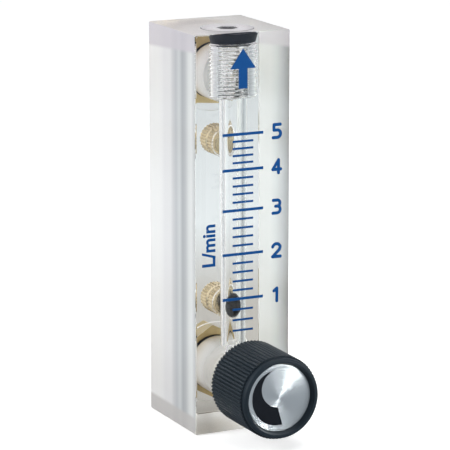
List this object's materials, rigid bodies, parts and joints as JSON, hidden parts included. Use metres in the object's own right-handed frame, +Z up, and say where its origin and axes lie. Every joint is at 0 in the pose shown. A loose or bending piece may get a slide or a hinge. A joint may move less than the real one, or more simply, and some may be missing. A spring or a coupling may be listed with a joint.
{
  "type": "rotameter",
  "caption": "Clear block flow meter: tapered bore with a ball float, printed scale, two rear ports, panel inserts and a front needle valve with a fluted knob.",
  "frame": {"origin": "centre of the block's bottom face", "axes": "+Z up along the metering bore, +Y to the rear, out of the ports, +X to the right seen from the front"},
  "size_m": [0.026, 0.0558, 0.1016],
  "materials": {
    "clear_acrylic": "polished clear faces, machined bores",
    "plug_acrylic": "clear, machined threads",
    "seal_rubber": "satin black",
    "fitting_brass": "machined, bright",
    "insert_brass": "knurled, bright",
    "stop_steel": "machined",
    "stem_steel": "ground",
    "screw_steel": "black oxide",
    "float_glass": "black, polished",
    "knob_plastic": "fluted, satin black",
    "spun_aluminium": "spun, circular brushing",
    "black_print": "screen print",
    "blue_print": "screen print"
  },
  "bodies": {
    "meter": {"meter_block": "clear_acrylic", "float_stop": "stop_steel", "top_plug": "plug_acrylic", "top_plug_seal": "seal_rubber", "inlet_fitting": "fitting_brass", "inlet_seal": "seal_rubber", "outlet_fitting": "fitting_brass", "outlet_seal": "seal_rubber", "lower_mount_insert": "insert_brass", "upper_mount_insert": "insert_brass", "valve_body": "fitting_brass", "valve_body_seal": "seal_rubber", "valve_nose_seal": "seal_rubber", "scale_ticks": "blue_print", "scale_numbers": "blue_print", "flow_arrow": "blue_print"},
    "float": {"float_ball": "float_glass"},
    "gland_ring": {"stem_seal": "seal_rubber"},
    "spindle": {"valve_stem": "stem_steel", "knob_shell": "knob_plastic", "knob_bush": "insert_brass", "knob_set_screw": "screw_steel", "knob_inlay": "spun_aluminium", "inlay_mark": "black_print"}
  },
  "joints": [
    {"name": "float_rise", "type": "slide", "parent": "meter", "child": "float", "axis": [0, 0, 1], "range_m": [-0.0075, 0.0508]},
    {"name": "stem_travel", "type": "slide", "parent": "meter", "child": "gland_ring", "axis": [0, -1, 0], "range_m": [-0.00115, 0.0023]},
    {"name": "knob_turn", "type": "hinge", "parent": "gland_ring", "child": "spindle", "pos_m": [0, -0.014, 0.0136], "axis": [0, -1, 0], "range_deg": [-720, 1440]}
  ],
  "couplings": [
    {"joint": "stem_travel", "follows": "knob_turn", "m_per_rad": 0.000079577}
  ]
}
